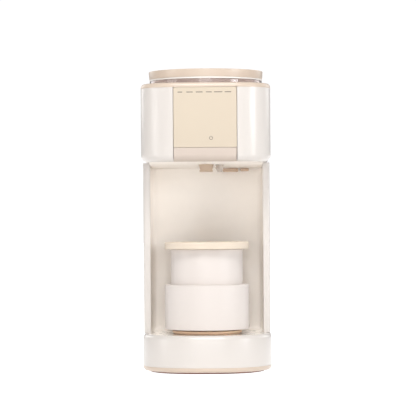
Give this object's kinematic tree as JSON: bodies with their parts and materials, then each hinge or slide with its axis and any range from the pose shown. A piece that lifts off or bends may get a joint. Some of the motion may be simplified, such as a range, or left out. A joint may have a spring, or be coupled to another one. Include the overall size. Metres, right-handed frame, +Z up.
{
  "type": "baby formula dispenser",
  "caption": "Countertop baby formula dispenser: base, niche column and head with touch panel, round powder hopper, telescoping bottle stand and rear water tank.",
  "frame": {"origin": "on the worktop, under the middle of the body's outline", "axes": "+Z up; -Y is the front with the touch panel; +X is the right seen from the front"},
  "size_m": [0.18, 0.3, 0.42],
  "materials": {
    "white_shell": "gloss",
    "peach_trim": "satin",
    "beige_liner": "satin",
    "beige_panel": "gloss",
    "grey_print": "matte",
    "stand_white": "satin",
    "collar_beige": "satin",
    "clear_plastic": "gloss",
    "tank_plastic": "gloss",
    "inner_plastic": "satin",
    "dosing_plastic": "satin",
    "peach_silicone": "matte",
    "white_silicone": "satin",
    "red_silicone": "satin",
    "foot_rubber": "matte",
    "brown_base": "matte",
    "black_plastic": "satin",
    "smoke_window": "gloss",
    "steel": "brushed",
    "brass": "polished",
    "aluminium": "cast",
    "circuit_board": "satin",
    "hose_silicone": "satin"
  },
  "bodies": {
    "machine": {"base_shell": "white_shell", "base_skirt": "peach_trim", "bottom_cover": "brown_base", "rubber_feet": "foot_rubber", "base_screws": "steel", "deck_plate": "beige_liner", "column_shell": "white_shell", "niche_liner": "beige_liner", "rear_housing": "white_shell", "back_cover": "beige_liner", "cover_screws": "steel", "power_inlet": "black_plastic", "inlet_pins": "brass", "power_board": "circuit_board", "board_parts": "black_plastic", "pump_body": "inner_plastic", "pump_motor": "steel", "heater_block": "aluminium", "heat_sensor": "brass", "cold_hose": "hose_silicone", "pump_hose": "hose_silicone", "hot_hose": "hose_silicone", "hose_clips": "steel", "tank_seat": "inner_plastic", "seat_seal": "red_silicone", "head_shell": "white_shell", "top_cover": "peach_trim", "panel_carrier": "white_shell", "touch_panel": "beige_panel", "panel_icons": "grey_print", "control_board": "circuit_board", "underside_cover": "beige_liner", "water_nozzle": "white_silicone", "sensor_window": "smoke_window", "hopper_bay": "inner_plastic", "bay_floor": "inner_plastic", "dosing_motor": "steel"},
    "pump_rotor": {"pump_impeller": "black_plastic"},
    "nozzle": {"powder_nozzle": "beige_liner"},
    "pinion": {"motor_pinion": "inner_plastic"},
    "hopper": {"hopper_cup": "clear_plastic", "hopper_floor": "inner_plastic", "outlet_plate": "inner_plastic"},
    "dosing_rotor": {"dosing_wheel": "dosing_plastic", "agitator": "inner_plastic", "rotor_shaft": "steel"},
    "lid": {"hopper_lid": "peach_trim", "lid_seal": "white_silicone"},
    "tank": {"water_tank": "tank_plastic", "tank_lid_pin": "steel", "valve_spring": "steel"},
    "tank_cover": {"tank_lid": "white_shell"},
    "handle": {"tank_handle": "peach_trim"},
    "valve": {"tank_valve": "black_plastic"},
    "seat": {"seat_pad": "peach_silicone"},
    "sleeve": {"stand_sleeve": "stand_white"},
    "cup": {"stand_cup": "stand_white"},
    "collar": {"collar_ring": "collar_beige", "grip_liner": "white_silicone"}
  },
  "joints": [
    {"name": "seat_lift", "type": "slide", "parent": "machine", "child": "seat", "axis": [0, 0, 1], "range_m": [0, 0.01]},
    {"name": "stand_lift", "type": "slide", "parent": "seat", "child": "sleeve", "axis": [0, 0, 1], "range_m": [0, 0.02]},
    {"name": "cup_height", "type": "slide", "parent": "sleeve", "child": "cup", "axis": [0, 0, 1], "range_m": [-0.048, 0]},
    {"name": "collar_lift", "type": "slide", "parent": "cup", "child": "collar", "axis": [0, 0, 1], "range_m": [0, 0.02]},
    {"name": "nozzle_pull", "type": "slide", "parent": "machine", "child": "nozzle", "axis": [0, 0, -1], "range_m": [0, 0.03]},
    {"name": "hopper_lift", "type": "slide", "parent": "machine", "child": "hopper", "axis": [0, 0, 1], "range_m": [0, 0.12]},
    {"name": "lid_lift", "type": "slide", "parent": "hopper", "child": "lid", "axis": [0, 0, 1], "range_m": [0, 0.05]},
    {"name": "dosing_spin", "type": "hinge", "parent": "hopper", "child": "dosing_rotor", "pos_m": [0, -0.06, 0.318], "axis": [0, 0, 1], "continuous": true},
    {"name": "pinion_spin", "type": "hinge", "parent": "machine", "child": "pinion", "pos_m": [0, -0.021, 0.318], "axis": [0, 0, 1], "continuous": true},
    {"name": "pump_spin", "type": "hinge", "parent": "machine", "child": "pump_rotor", "pos_m": [0.048, 0.026, 0.105], "axis": [0, 0, 1], "continuous": true},
    {"name": "tank_lift", "type": "slide", "parent": "machine", "child": "tank", "axis": [0, 0, 1], "range_m": [0, 0.21]},
    {"name": "tank_lid_hinge", "type": "hinge", "parent": "tank", "child": "tank_cover", "pos_m": [0, 0.07, 0.388], "axis": [1, 0, 0], "range_deg": [0, 85]},
    {"name": "handle_swing", "type": "hinge", "parent": "tank", "child": "handle", "pos_m": [0, 0.098, 0.378], "axis": [1, 0, 0], "range_deg": [0, 90]},
    {"name": "valve_push", "type": "slide", "parent": "tank", "child": "valve", "axis": [0, 0, 1], "range_m": [0, 0.003], "stiffness_N_per_m": 300, "springref_m": -0.002, "deforming": ["valve_spring"]}
  ],
  "couplings": [
    {"joint": "pinion_spin", "follows": "dosing_spin", "ratio": -3.3333}
  ]
}
